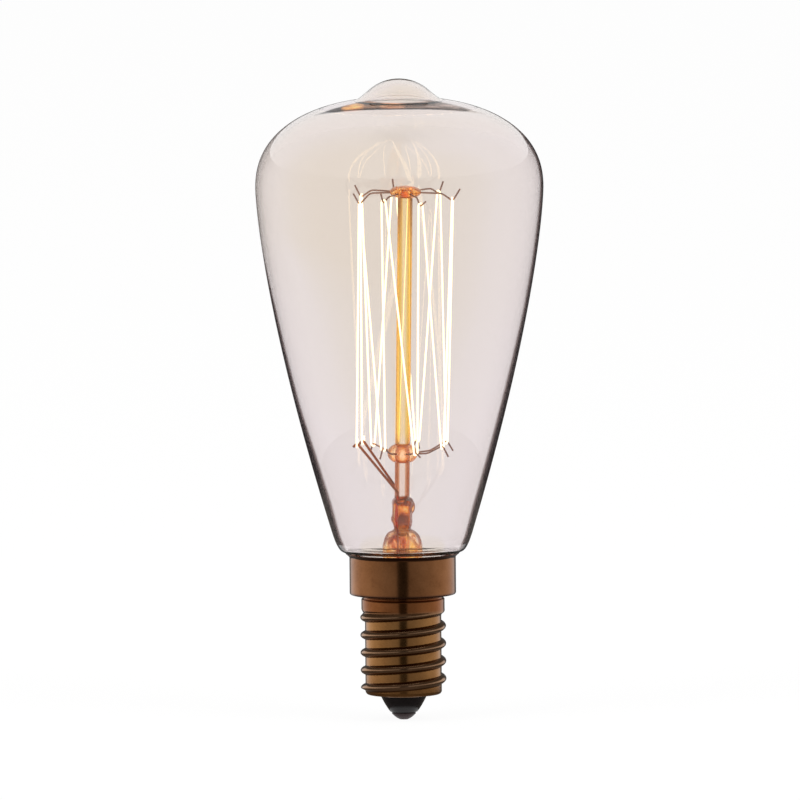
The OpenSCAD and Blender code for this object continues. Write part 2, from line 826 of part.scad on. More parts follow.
// A drop on the rim, where the side lead ends
module side_solder() {
    drop_r = 0.6;
    drop_in = 0.05;
    drop_h = rim_gap - 2 * melt_gap;
    slot_w = seal_wire_d + 2 * melt_gap;
    color([0.7, 0.7, 0.68])
        difference() {
            translate([seal_x, skirt_r - drop_in, cap_h + melt_gap])
                rotate_extrude()
                    polygon(concat([[0, 0]], [for (a = [0:15:90]) [drop_r * cos(a), drop_h * sin(a)]]));
            translate([seal_x - slot_w / 2, side_end_y + melt_gap - drop_r, cap_h])
                cube([slot_w, drop_r, 1]);
        }
}

envelope();
stem_flare();
exhaust_tube();
stem_rod();
upper_button();
lower_bead();
for (i = [0:len(upper_at) - 1])
    upper_hook(i);
for (i = [0:len(lower_at) - 1])
    lower_hook(i);
filament();
inner_lead(0);  // inner_lead_front
inner_lead(1);  // inner_lead_back
seal_wire(0);  // seal_wire_front
seal_wire(1);  // seal_wire_back
outer_lead_centre();
outer_lead_side();
basing_cement();
screw_shell();
insulator();
contact_eyelet();
centre_solder();
side_solder();
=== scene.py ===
import math

import bpy
from mathutils import Matrix, Vector, noise


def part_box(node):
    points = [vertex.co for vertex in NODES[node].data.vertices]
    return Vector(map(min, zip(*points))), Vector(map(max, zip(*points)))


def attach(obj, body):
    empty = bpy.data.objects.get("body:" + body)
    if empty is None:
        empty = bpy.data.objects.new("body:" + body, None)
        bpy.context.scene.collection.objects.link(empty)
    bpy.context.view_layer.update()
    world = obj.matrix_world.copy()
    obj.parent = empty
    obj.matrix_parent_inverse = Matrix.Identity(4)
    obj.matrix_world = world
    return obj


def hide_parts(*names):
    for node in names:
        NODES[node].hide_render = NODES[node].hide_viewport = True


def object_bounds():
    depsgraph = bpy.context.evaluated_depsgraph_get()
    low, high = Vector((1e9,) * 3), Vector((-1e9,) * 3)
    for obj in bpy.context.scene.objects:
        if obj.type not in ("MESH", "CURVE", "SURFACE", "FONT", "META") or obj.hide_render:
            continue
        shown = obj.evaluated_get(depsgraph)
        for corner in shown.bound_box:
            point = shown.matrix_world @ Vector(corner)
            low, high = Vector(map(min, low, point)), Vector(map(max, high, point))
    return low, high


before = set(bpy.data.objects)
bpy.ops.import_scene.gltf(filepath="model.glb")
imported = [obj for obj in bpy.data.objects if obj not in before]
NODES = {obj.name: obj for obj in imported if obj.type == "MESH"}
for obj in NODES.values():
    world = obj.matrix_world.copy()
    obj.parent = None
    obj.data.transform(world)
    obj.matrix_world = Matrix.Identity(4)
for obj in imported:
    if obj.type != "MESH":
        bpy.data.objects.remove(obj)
CAD_LOW, CAD_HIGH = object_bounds()
MM = 0.001

# Camera, as the photograph has it: a long lens a little above the lamp, which leans by ROLL
FRAME_PX = 800
PX_PER_MM = 6.255
ORIGIN_PX = (404.0, 719.0)
ELEVATION = math.radians(5.3)
ROLL = math.radians(0.5)
CAMERA_DISTANCE = 4.0
SENSOR = 36.0

# Sizes of the lamp, in millimetres from the middle of the centre contact. The body is up to 0.2 mm slimmer
# than its node, and the crown has a plain wall where the node's is thicker.
TOP_Z = (CAD_HIGH.z - CAD_LOW.z) / MM
ENVELOPE_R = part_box("envelope")[1].x / MM
WALL = 0.7
LOW_WALL = 1.05
DISC_R = 12.5
LOW_REACH = 24.0
CROWN_H = 14.5
CROWN_POWER = 2.3
NUB_RISE = 3.0
NUB_R = 7.3
BODY_POWER = 1.42
SHOULDER_R = 11.3
SHOULDER_H = 4.4
OVERHANG = 1.6
UNDERSIDE_Z = 26.95
CAP_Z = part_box("screw_shell")[1].z / MM
SKIRT_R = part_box("screw_shell")[1].x / MM
SKIRT_H = 5.8
SHELL_WALL = 0.3
THREAD_R = 6.85
RIDGE_H = 0.75
RIDGE_W = 1.45
PITCH = 2.822
LAND_DROP = 0.2
LAND_H = 1.9
SHELL_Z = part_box("screw_shell")[0].z / MM
INSULATOR_R = 3.7
NECK_R = 7.4
NECK_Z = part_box("envelope")[0].z / MM

WIDEST_Z = TOP_Z - NUB_RISE - CROWN_H
SHOULDER_Z = CAP_Z + SHOULDER_H
SKIRT_Z = CAP_Z - SKIRT_H
FLOOR_Z = SKIRT_Z - 0.35
LAND_Z = FLOOR_Z - LAND_H
LAND_R = THREAD_R - LAND_DROP
ROOT_R = THREAD_R - RIDGE_H
SHELL_BORE = ROOT_R - SHELL_WALL
CURL_R = 0.52
THREAD_LOW_Z = SHELL_Z + CURL_R + 0.25
FIRST_CREST_Z = LAND_Z - 1.45
RUN_IN = 0.6
RUN_OUT = 1.3
LIP_R = 9.12
LIP_Z = 26.7
SKIRT_ROUND = 0.3
GROOVE_R = LAND_R - 0.2
CURL_X = ROOT_R - CURL_R
STEP_Z = FLOOR_Z - 0.42

# Glass stem
STEM_R = 3.2
STEM_WALL = 0.7
PRESS_Z = CAP_Z + 10
PRESS_H = 5.2
PRESS_FOOT_Z = PRESS_Z - PRESS_H
DOME_H = 2.6
DOME_Z = PRESS_FOOT_Z + 0.2 - DOME_H
FLARE_Z = CAP_Z + 0.4
FLARE_POWER = 2.6
FOOT_R = NECK_R - WALL - 0.03
PORT_Z = PRESS_FOOT_Z + 0.65 * PRESS_H
STEM_VOXEL = 0.13
STEM_WAVE = 0.16


def link(obj):
    bpy.context.scene.collection.objects.link(obj)
    return obj


def mesh_piece(name, points, faces, materials=(), smooth=True):
    """An object made of points in millimetres and faces."""
    mesh = bpy.data.meshes.new(name)
    mesh.from_pydata([tuple(c * MM for c in p) for p in points], [], faces)
    mesh.update()
    for polygon in mesh.polygons:
        polygon.use_smooth = smooth
    for material in materials:
        mesh.materials.append(material)
    return link(bpy.data.objects.new(name, mesh))


def ring_points(rings, sides):
    """Points of circles given as (radius, height), one after the other."""
    angles = [2 * math.pi * k / sides for k in range(sides)]
    return [(r * math.cos(a), r * math.sin(a), z) for r, z in rings for a in angles]


def ring_faces(sides, first=0):
    """Faces of the strip between a ring that starts at first and the next ring."""
    faces = []
    for k in range(sides):
        j = (k + 1) % sides
        faces.append((first + k, first + sides + k, first + sides + j, first + j))
    return faces


def pole_and_rows(first, rings, sides):
    """Faces of a surface that starts at one point and goes on in rings."""
    faces = [(first, first + 1 + k, first + 1 + (k + 1) % sides) for k in range(sides)]
    for i in range(rings - 1):
        faces += ring_faces(sides, first + 1 + i * sides)
    return faces


# Node helpers
class Shader:
    """A material's node tree, with short calls for the nodes used here."""

    def __init__(self, name):
        self.material = bpy.data.materials.new(name)
        self.material.use_nodes = True
        self.nodes = self.material.node_tree.nodes
        self.links = self.material.node_tree.links
        self.nodes.clear()
        self.output = self.nodes.new("ShaderNodeOutputMaterial")

    def node(self, kind, inputs=None, **settings):
        made = self.nodes.new("ShaderNode" + kind)
        for key, value in settings.items():
            setattr(made, key, value)
        for key, value in (inputs or {}).items():
            self.set(made, key, value)
        return made

    def set(self, made, key, value):
        if isinstance(value, bpy.types.NodeSocket):
            self.links.new(value, made.inputs[key])
        else:
            made.inputs[key].default_value = value

    def ramp(self, factor, stops, mode="LINEAR"):
        made = self.nodes.new("ShaderNodeValToRGB")
        made.color_ramp.interpolation = mode
        elements = made.color_ramp.elements
        while len(elements) < len(stops):
            elements.new(0.5)
        for element, (place, colour) in zip(elements, stops):
            element.position = place
            element.color = (*colour, 1)
        self.links.new(factor, made.inputs["Fac"])
        return made.outputs["Color"]

    def math(self, operation, a, b=0.0, clamp=False):
        made = self.node("Math", operation=operation, use_clamp=clamp)
        self.set(made, 0, a)
        self.set(made, 1, b)
        return made.outputs[0]

    def mix(self, factor, a, b, blend="MIX"):
        made = self.node("Mix", data_type="RGBA", blend_type=blend)
        self.set(made, 0, factor)
        self.set(made, 6, a)
        self.set(made, 7, b)
        return made.outputs[2]

    def noise(self, scale, detail=4.0, roughness=0.5, vector=None, distortion=0.0):
        made = self.node("TexNoise", {"Scale": scale, "Detail": detail, "Roughness": roughness})
        made.inputs["Distortion"].default_value = distortion
        if vector is not None:
            self.links.new(vector, made.inputs["Vector"])
        return made.outputs["Fac"]

    def object_coords(self):
        return self.node("TexCoord").outputs["Object"]

    def place(self):
        """The point's x, y, z and distance from the lamp's axis, in millimetres."""
        inputs = {0: self.object_coords(), "Scale": 1 / MM}
        scaled = self.node("VectorMath", inputs, operation="SCALE").outputs[0]
        x, y, z = self.node("SeparateXYZ", {0: scaled}).outputs
        flat = self.node("CombineXYZ", {0: x, 1: y}).outputs[0]
        r = self.node("VectorMath", {0: flat}, operation="LENGTH").outputs["Value"]
        return x, y, z, r

    def span(self, value, low, high):
        """0 where value is low and 1 where it is high, clamped, with low above high allowed."""
        return self.node("MapRange", {"Value": value, "From Min": low, "From Max": high}).outputs["Result"]

    def stretched(self, x, y, z):
        """Object coordinates scaled per axis, for streaks."""
        factors = (x, y, z)
        return self.node("VectorMath", {0: self.object_coords(), 1: factors}, operation="MULTIPLY").outputs[0]

    def bump(self, height, strength, distance):
        made = self.node("Bump", {"Height": height, "Strength": strength, "Distance": distance})
        return made.outputs["Normal"]

    def principled(self, **inputs):
        made = self.nodes.new("ShaderNodeBsdfPrincipled")
        for key, value in inputs.items():
            self.set(made, key.replace("_", " "), value)
        self.links.new(made.outputs[0], self.output.inputs["Surface"])
        return made


GLASS_IOR = 1.5
# Where the crown shows the room in streaks, a low index keeps reflections out of the painted colour
QUIET_IOR = 1.13
NUB_FOOT_R = 7.0


def glass(name, base, index=GLASS_IOR, **more):
    """Clear glass, base coloured by a socket or a plain colour."""
    shader = Shader(name)
    colour = base(shader) if callable(base) else (*base, 1)
    shader.principled(
        Base_Color=colour,
        Roughness=0.0,
        IOR=index,
        Transmission_Weight=1.0,
        **more,
    )
    shader.material.cycles.emission_sampling = "NONE"
    return shader.material


def lit_glass(name, base, glow, strength):
    """Glass with a weak painted glow, standing in for the filament's light that it carries."""
    return glass(name, base, Emission_Color=(*glow, 1), Emission_Strength=strength)


def facing(shader):
    return shader.node("LayerWeight", {"Blend": 0.5}).outputs["Facing"]


def side_shift(shader, z, stops):
    """How much sooner the glass's edge turns dark at a height, from stops of (height in mm, shift)."""
    top = 104.0
    half = [(height / top, (shift + 0.5,) * 3) for height, shift in stops]
    return shader.math("SUBTRACT", shader.ramp(shader.math("DIVIDE", z, top), half), 0.5)


# Shifts of the dark edge by height, for the lamp's left and right half as seen in the photograph
LEFT_EDGE = [
    (26.8, 0.1), (28.5, 0.21), (35, 0.22), (43, 0.17), (51, 0.08), (59, 0.05), (66, 0.02), (73, -0.06),
    (79, -0.2),
]
RIGHT_EDGE = [
    (26.8, 0.12), (28.5, 0.2), (35, 0.2), (43, 0.16), (59, 0.09), (66, 0.05), (85, 0.02), (93, 0.0),
    (97, -0.3),
]
# By how edge-on the glass is seen: a pale tint, then painted shade that turns near black at the edge
GLASS_TINT_AND_EDGE_SHADE = [
    (0.0, (0.80, 0.715, 0.63)),
    (0.15, (0.81, 0.74, 0.69)),
    (0.3, (0.835, 0.775, 0.785)),
    (0.77, (0.80, 0.725, 0.725)),
    (0.82, (0.09, 0.055, 0.05)),
    (0.87, (0.007, 0.0045, 0.0045)),
    (0.95, (0.0015, 0.001, 0.001)),
]
# A painted dark line of shade at the nub's foot, where the glass is seen edge on
NUB_SHADE_LINE_COLOUR = (0.004, 0.002, 0.002, 1)
NUB_SHADE_LINE_Z = (TOP_Z - 2.5, TOP_Z - 1.9)
NUB_SHADE_LINE_FACING = (0.7, 0.82)
# Where the painted edge shade is held back on the turn of the glass above the rim in front, and by how much
CORNER_X = (7.6, 6.2)
CORNER_Z = (28.8, 28.0)
CORNER_SHIFT = 0.5
# Where the left half's edge passes into the right half's
SIDE_X = (-2.0, 2.0)

# The crown's crescent is painted light and shade, standing in for what the thick glass there refracts and
# reflects. Its bounds are tilted by the photograph's elevation and its colours run from left to right, so it
# looks right from the front and shows as patches from other sides.
BAND_HALF = 12.3
BAND_TOP_Z = 99.55
BAND_TOP_FALL = 2.25
BAND_LOW_Z = 97.72
BAND_LOW_FALL = 0.7
BAND_BLUR = (-0.1, 0.12)
BAND_GRAZING = (0.42, 0.6)
BAND_SPREAD = 13.0
BAND_LIGHT_AND_SHADE = [
    (-12.3, (0.002, 0.001, 0.001)),
    (-9.2, (0.002, 0.001, 0.001)),
    (-8.5, (0.45, 0.09, 0.006)),
    (-6.6, (0.6, 0.14, 0.015)),
    (-5.4, (0.12, 0.035, 0.012)),
    (-3.2, (0.07, 0.025, 0.01)),
    (-1.7, (0.9, 0.25, 0.08)),
    (0.2, (0.8, 0.28, 0.12)),
    (1.2, (0.14, 0.07, 0.045)),
    (6.0, (0.11, 0.065, 0.05)),
    (10.0, (0.09, 0.06, 0.05)),
    (12.3, (0.2, 0.15, 0.12)),
]


def crown_band(shader, x, y, z):
    """Where the crown is painted with the crescent that the photograph shows there."""
    seen = shader.math("ADD", z, shader.math("MULTIPLY", y, math.tan(ELEVATION)))
    bend = shader.math("POWER", shader.math("DIVIDE", shader.math("ABSOLUTE", x), BAND_HALF), 2.0)
    top = shader.math("SUBTRACT", BAND_TOP_Z, shader.math("MULTIPLY", bend, BAND_TOP_FALL))
    bottom = shader.math("SUBTRACT", BAND_LOW_Z, shader.math("MULTIPLY", bend, BAND_LOW_FALL))
    low = shader.span(shader.math("SUBTRACT", seen, bottom), *BAND_BLUR)
    high = shader.span(shader.math("SUBTRACT", top, seen), *BAND_BLUR)
    grazing = shader.span(facing(shader), *BAND_GRAZING)
    return shader.math("MULTIPLY", shader.math("MULTIPLY", low, high), grazing)


def band_colour(shader, x):
    """The painted crescent's light and shade from left to right, broken by flat streaks."""
    tone = shader.noise(1.0, 3, 0.6, shader.stretched(180, 400, 2200))
    streaks = shader.ramp(tone, [(0.36, (0.3, 0.3, 0.3)), (0.5, (1.0, 1.0, 1.0)), (0.64, (3.4, 3.6, 3.8))])
    stops = [((at + BAND_SPREAD) / (2 * BAND_SPREAD), colour) for at, colour in BAND_LIGHT_AND_SHADE]
    along_x = shader.ramp(shader.span(x, -BAND_SPREAD, BAND_SPREAD), stops)
    return shader.mix(1.0, streaks, along_x, "MULTIPLY")


def edge_shift(shader, x, z):
    """The shift of the dark edge at a point, passing from the left half's to the right half's."""
    left = side_shift(shader, z, LEFT_EDGE)
    right = side_shift(shader, z, RIGHT_EDGE)
    side = shader.span(x, *SIDE_X)
    return shader.math("ADD", left, shader.math("MULTIPLY", shader.math("SUBTRACT", right, left), side))


def envelope_tint_and_edge_shade(shader):
    """Pale, with painted shade where the wall is seen edge on, standing in for the dark edges that refraction
    and reflection give there; the painted shade reaches further in low down.
    """
    x, y, z = shader.place()[:3]
    front = shader.span(shader.math("ABSOLUTE", x), *CORNER_X)
    corner = shader.math("MULTIPLY", shader.span(z, *CORNER_Z), front)
    shifted = shader.math("ADD", facing(shader), edge_shift(shader, x, z))
    turned = shader.math("SUBTRACT", shifted, shader.math("MULTIPLY", corner, CORNER_SHIFT))
    deep = shader.ramp(turned, GLASS_TINT_AND_EDGE_SHADE)
    foot = shader.span(z, *NUB_SHADE_LINE_Z)
    nub_shade_line = shader.math("MULTIPLY", foot, shader.span(facing(shader), *NUB_SHADE_LINE_FACING))
    with_nub_shade = shader.mix(nub_shade_line, deep, NUB_SHADE_LINE_COLOUR)
    return shader.mix(crown_band(shader, x, y, z), with_nub_shade, band_colour(shader, x))


# Heights between which the rod's painted light turns from red to amber, and from amber to painted shade
ROD_LOW_Z = (43, 46)
ROD_TOP_Z = (74, 84)


def rod_colour(shader):
    """Painted filament light and shade: amber at its sides, redder below the bead and darker near the button.
    """
    edge = facing(shader)
    lit = shader.ramp(
        edge,
        [
            (0.0, (1.0, 0.88, 0.62)),
            (0.03, (1.0, 0.85, 0.5)),
            (0.08, (0.97, 0.68, 0.15)),
            (0.2, (0.95, 0.62, 0.1)),
            (0.5, (0.72, 0.33, 0.04)),
            (0.8, (0.85, 0.45, 0.1)),
        ],
    )
    low = shader.ramp(
        edge,
        [
            (0.04, (0.95, 0.85, 0.8)),
            (0.1, (0.55, 0.16, 0.05)),
            (0.3, (0.36, 0.07, 0.015)),
            (0.6, (0.5, 0.14, 0.04)),
        ],
    )
    top = shader.ramp(
        edge,
        [
            (0.03, (1.0, 0.85, 0.5)),
            (0.08, (0.85, 0.45, 0.1)),
            (0.18, (0.3, 0.09, 0.015)),
            (0.5, (0.12, 0.03, 0.005)),
        ],
    )
    z = shader.place()[2]
    high = shader.mix(shader.span(z, *ROD_TOP_Z), lit, top)
    return shader.mix(shader.span(z, *ROD_LOW_Z), low, high)


def bead_colour(shader):
    """Painted filament light and shade: pale in the middle and amber to dark red at the edge."""
    return shader.ramp(
        facing(shader),
        [
            (0.0, (1.0, 0.92, 0.8)),
            (0.2, (1.0, 0.7, 0.35)),
            (0.42, (0.5, 0.12, 0.02)),
            (0.7, (0.35, 0.06, 0.01)),
        ],
    )


def button_colour(shader):
    """Painted filament light and shade: patches of orange and yellow glints, dark red at the edge."""
    patch = shader.noise(900.0, 3, 0.6, shader.object_coords())
    lit = shader.ramp(patch, [(0.38, (0.7, 0.16, 0.02)), (0.5, (1.0, 0.45, 0.07)), (0.62, (1.0, 0.8, 0.4))])
    return shader.mix(shader.span(facing(shader), 0.35, 0.75), lit, (0.3, 0.04, 0.005, 1))


# Where the stem's painted shade deepens into the press, where its edge darkens with painted shade, and where
# the blown lump begins
PRESS_TONE_Z = (29.8, 31.2)
STEM_EDGE_Z = (27.6, 28.8)
LUMP_X = (1.45, 1.6)
LUMP_Z = (31.5, 32.5)
STEM_EDGE_LOW = (0.95, 0.4, 0.1, 1)
STEM_EDGE_HIGH = (0.1, 0.014, 0.005, 1)


def stem_colour(shader):
    """Painted filament light and shade: amber with golden highlights and dark red shade in patches, deeper in
    the press, and a pale painted highlight in the blown lump.
    """
    x, y, z = shader.place()[:3]
    patch = shader.noise(1.0, 3, 0.55, shader.stretched(620, 620, 420), 0.6)
    light = shader.ramp(
        patch,
        [
            (0.36, (0.45, 0.07, 0.02)),
            (0.43, (0.95, 0.5, 0.22)),
            (0.5, (1.0, 0.92, 0.82)),
            (0.6, (1.0, 0.74, 0.3)),
        ],
    )
    deep = shader.ramp(
        patch,
        [
            (0.38, (0.05, 0.004, 0.001)),
            (0.47, (0.42, 0.06, 0.008)),
            (0.56, (0.95, 0.3, 0.03)),
            (0.66, (1.0, 0.8, 0.4)),
        ],
    )
    body = shader.mix(shader.span(z, *PRESS_TONE_Z), light, deep)
    edge = shader.mix(shader.span(z, *STEM_EDGE_Z), STEM_EDGE_LOW, STEM_EDGE_HIGH)
    stem_with_edge_shade = shader.mix(shader.span(facing(shader), 0.28, 0.6), body, edge)
    lump = shader.ramp(
        facing(shader),
        [(0.0, (0.97, 0.9, 0.88)), (0.3, (0.9, 0.75, 0.7)), (0.5, (0.12, 0.04, 0.03))],
    )
    lumpy = shader.mix(shader.span(z, *LUMP_Z), stem_with_edge_shade, lump)
    return shader.mix(shader.span(x, *LUMP_X), stem_with_edge_shade, lumpy)


def wire(name, colour, roughness=0.4):
    """Drawn wire with a fine grain."""
    shader = Shader(name)
    tone = shader.noise(9000.0)
    base = shader.ramp(tone, [(0.3, tuple(c * 0.6 for c in colour)), (0.7, colour)])
    shader.principled(
        Base_Color=base,
        Metallic=1.0,
        Roughness=roughness,
        Normal=shader.bump(tone, 0.2, 0.00005),
    )
    return shader.material


FILAMENT_GLOW = 2.2


def glowing_filament():
    """Tungsten that glows, without lighting what is round it."""
    shader = Shader("glowing_filament")
    shader.principled(
        Base_Color=(1.0, 0.86, 0.6, 1),
        Roughness=0.6,
        Emission_Color=(1.0, 0.8, 0.5, 1),
        Emission_Strength=FILAMENT_GLOW,
    )
    shader.material.cycles.emission_sampling = "NONE"
    return shader.material


# By radius in the screw: golden brass in the grooves, painted shade on the flanks and a grey-brown painted
# highlight on the crests
SCREW_BRASS_AND_SHADING = [
    (0.0, (0.38, 0.18, 0.06)),
    (0.2, (0.2, 0.092, 0.032)),
    (0.5, (0.25, 0.13, 0.06)),
    (0.95, (0.32, 0.185, 0.105)),
]
LAND_COLOUR = (0.25, 0.09, 0.03, 1)
SKIRT_COLOUR = (0.26, 0.108, 0.042, 1)
# Painted shade, for the groove under the skirt and the rim's outer edge
PAINTED_SHADE_BROWN = (0.1, 0.045, 0.028, 1)


def brass_colour(shader):
    """Golden in the screw's grooves, with painted shade on its flanks and a grey-brown painted highlight on
    its ridges, redder above them, and painted shade in the groove under the skirt and at the rim.
    """
    z, r = shader.place()[2:]
    colour = shader.ramp(shader.span(r, ROOT_R - 0.05, THREAD_R), SCREW_BRASS_AND_SHADING)
    colour = shader.mix(shader.span(z, LAND_Z - 0.65, LAND_Z - 0.05), colour, LAND_COLOUR)
    colour = shader.mix(shader.span(z, FLOOR_Z - 0.15, FLOOR_Z + 0.25), colour, PAINTED_SHADE_BROWN)
    colour = shader.mix(shader.span(z, SKIRT_Z + 0.2, SKIRT_Z + 0.5), colour, SKIRT_COLOUR)
    high = shader.span(z, CAP_Z + 0.2, CAP_Z + 0.35)
    rim_shade_mask = shader.math("MULTIPLY", high, shader.span(r, SKIRT_R - 0.05, SKIRT_R))
    return shader.mix(rim_shade_mask, colour, PAINTED_SHADE_BROWN)


def antique_brass():
    """Rolled brass, darkened, with a soft cloud of tone and a fine grain."""
    shader = Shader("antique_brass")
    coords = shader.object_coords()
    cloud = shader.noise(260.0, 5, 0.6, coords)
    grain = shader.noise(3200.0, 3, 0.6, coords)
    blend = shader.math("ADD", shader.math("MULTIPLY", cloud, 0.7), shader.math("MULTIPLY", grain, 0.3))
    tone = shader.ramp(blend, [(0.35, (0.78, 0.74, 0.7)), (0.5, (1.0, 1.0, 1.0)), (0.68, (1.18, 1.22, 1.28))])
    rough = shader.node("MapRange", {"Value": grain, "To Min": 0.12, "To Max": 0.22}).outputs["Result"]
    shader.principled(
        Base_Color=shader.mix(1.0, brass_colour(shader), tone, "MULTIPLY"),
        Metallic=1.0,
        Roughness=rough,
        Normal=shader.bump(grain, 0.06, 0.00004),
    )
    return shader.material


def black_glass():
    shader = Shader("black_cap_glass")
    tone = shader.noise(1500.0)
    base = shader.ramp(tone, [(0.3, (0.003, 0.002, 0.002)), (0.7, (0.008, 0.005, 0.006))])
    shader.principled(Base_Color=base, Roughness=0.25, IOR=1.4, Normal=shader.bump(tone, 0.05, 0.0001))
    return shader.material


def dull_solder():
    shader = Shader("dull_solder")
    tone = shader.noise(2500.0, 5, 0.6)
    base = shader.ramp(tone, [(0.3, (0.03, 0.02, 0.022)), (0.7, (0.09, 0.07, 0.07))])
    shader.principled(Base_Color=base, Metallic=1.0, Roughness=0.45, Normal=shader.bump(tone, 0.3, 0.0001))
    return shader.material


def baked_cement():
    shader = Shader("baked_cement")
    tone = shader.noise(3000.0, 6, 0.65)
    base = shader.ramp(tone, [(0.3, (0.42, 0.34, 0.28)), (0.7, (0.58, 0.5, 0.43))])
    shader.principled(Base_Color=base, Roughness=0.9, Normal=shader.bump(tone, 0.5, 0.0002))
    return shader.material


# Profiles in millimetres, (radius, height)
def bezier(a, b, c, d, n):
    points = []
    for i in range(n + 1):
        t = i / n
        s = 1 - t
        weights = (s * s * s, 3 * s * s * t, 3 * s * t * t, t * t * t)
        points.append(tuple(sum(w * p[k] for w, p in zip(weights, (a, b, c, d))) for k in (0, 1)))
    return points


def ease(x):
    """0 to 1 with a soft start and end, clamped."""
    t = min(max(x, 0.0), 1.0)
    return t * t * (3 - 2 * t)


def crown_point(degrees):
    """A point of the crown's super-ellipse, 0 degrees at its top and 90 at the widest ring."""
    a = math.radians(degrees)
    r = ENVELOPE_R * math.sin(a) ** (2 / CROWN_POWER)
    return (r, WIDEST_Z + CROWN_H * max(0.0, math.cos(a)) ** (2 / CROWN_POWER))


def body_point(s):
    """A point of the drawn-in body, at a share s of the way from the widest ring to the shoulder."""
    r = ENVELOPE_R - (ENVELOPE_R - SHOULDER_R) * s**BODY_POWER
    return (r, WIDEST_Z - (WIDEST_Z - SHOULDER_Z) * s)


def meet(p, d, q, e):
    """Where the line through p along d meets the line through q along e."""
    k = ((q[0] - p[0]) * e[1] - (q[1] - p[1]) * e[0]) / (d[0] * e[1] - d[1] * e[0])
    return (p[0] + k * d[0], p[1] + k * d[1])


def along(p, q, share):
    return tuple(a + share * (b - a) for a, b in zip(p, q))


def envelope_outline():
    """The envelope's outside from the nub's top down the body, round the turn at the rim and into the neck."""
    nub_end = 42
    crown_start = 15
    turn_handle = 0.6
    under_handle = 1.2
    neck_handle = 0.3
    nub = [
        (NUB_R * math.sin(math.radians(a)), TOP_Z - NUB_R + NUB_R * math.cos(math.radians(a)))
        for a in [nub_end * i / 14 for i in range(15)]
    ]
    c = crown_point(crown_start)
    c_next = crown_point(crown_start + 1)
    end = math.radians(nub_end)
    corner = meet(nub[-1], (math.cos(end), -math.sin(end)), c, (c_next[0] - c[0], c_next[1] - c[1]))
    fillet = 0.67
    foot = bezier(nub[-1], along(nub[-1], corner, fillet), along(c, corner, fillet), c, 12)
    crown = [crown_point(crown_start + (90 - crown_start) * i / 44) for i in range(1, 45)]
    body = [body_point(i / 60) for i in range(1, 61)]
    s = body_point(1.0)
    s_before = body_point(0.98)
    step = (s[0] - s_before[0], s[1] - s_before[1])
    long = math.hypot(*step)
    drop = 0.85 * SHOULDER_H / long
    handle = (s[0] + drop * step[0], s[1] + drop * step[1])
    under = (NECK_R + OVERHANG, UNDERSIDE_Z)
    turn = bezier(s, handle, (under[0] + turn_handle, under[1]), under, 20)
    neck_top = (NECK_R, CAP_Z - neck_handle)
    neck = bezier(under, (under[0] - under_handle, under[1]), (NECK_R, UNDERSIDE_Z), neck_top, 8)
    return nub + foot[1:] + crown + body + turn[1:] + neck[1:] + [(NECK_R, NECK_Z)]


def wall_at(p):
    """The glass's thickness, which grows towards the shoulder."""
    low = ease((SHOULDER_Z + LOW_REACH - p[1]) / LOW_REACH) * ease((p[1] - CAP_Z) / SHOULDER_H)
    return WALL + (LOW_WALL - WALL) * low


def inset(line, wall):
    """A profile moved in by wall(point), without the points that a tight corner folds over."""
    points = []
    for i, p in enumerate(line):
        w = wall(p)
        a = line[max(i - 1, 0)]
        b = line[min(i + 1, len(line) - 1)]
        t = (b[0] - a[0], b[1] - a[1])
        n = math.hypot(*t)
        q = (0.0, p[1] - w) if i == 0 else (p[0] + w * t[1] / n, p[1] - w * t[0] / n)
        if min(math.dist(q, other) for other in line) > 0.98 * w:
            points.append(q)
    return points


def shell_mesh(outside, inside, sides):
    """Points, faces and each face's kind (0 outside, 1 inside) of a closed shell of revolution.

    Both profiles start on the axis and end at the open mouth.
    """
    points = []
    faces = []
    kinds = []
    rims = []
    for kind, line in enumerate((outside, inside)):
        first = len(points)
        points.append((0.0, 0.0, line[0][1]))
        points += ring_points(line[1:], sides)
        skin = pole_and_rows(first, len(line) - 1, sides)
        faces += [face[::-1] for face in skin] if kind else skin
        kinds += [kind] * len(skin)
        rims.append(first + 1 + (len(line) - 2) * sides)
    for k in range(sides):
        j = (k + 1) % sides
        faces.append((rims[0] + k, rims[1] + k, rims[1] + j, rims[0] + j))
        kinds.append(1)
    return points, faces, kinds


def build_envelope():
    """The glass envelope. Between the nub and DISC_R its glass has the low index."""
    outside = envelope_outline()
    inner = (0.97, 0.95, 0.945)
    materials = [
        glass("clear_glass", envelope_tint_and_edge_shade),
        glass("clear_glass_inside", inner),
        glass("quiet_glass", envelope_tint_and_edge_shade, QUIET_IOR),
        glass("quiet_glass_inside", inner, QUIET_IOR),
    ]
    points, faces, kinds = shell_mesh(outside, inset(outside, wall_at), 256)
    piece = mesh_piece("blown_envelope", points, faces, materials)
    piece.data.polygons.foreach_set("material_index", kinds)
    for polygon in piece.data.polygons:
        place = polygon.center / MM
        if place.z > WIDEST_Z and NUB_FOOT_R < math.hypot(place.x, place.y) < DISC_R:
            polygon.material_index += 2
    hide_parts("envelope")
    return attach(piece, "root")


# Cap
def screw_r(degrees, z):
    """The shell's outer radius at a bearing and a height, with the right-handed ridge."""
    s = z - FIRST_CREST_Z - PITCH * (degrees - 180) / 360
    near = s - PITCH * round(s / PITCH)
    ridge = (1 - min(abs(2 * near / RIDGE_W), 1.0) ** 2) ** 0.8
    rise = RIDGE_H * ridge * ease((z - THREAD_LOW_Z) / RUN_IN)
    f = ease((LAND_Z - z) / RUN_OUT)
    return LAND_R * (1 - f) + (ROOT_R + rise) * f


def arc(middle, radius, degrees):
    """Points of an arc in (radius, height), at angles below the level."""
    turns = [math.radians(a) for a in degrees]
    return [(middle[0] + radius * math.cos(a), middle[1] - radius * math.sin(a)) for a in turns]


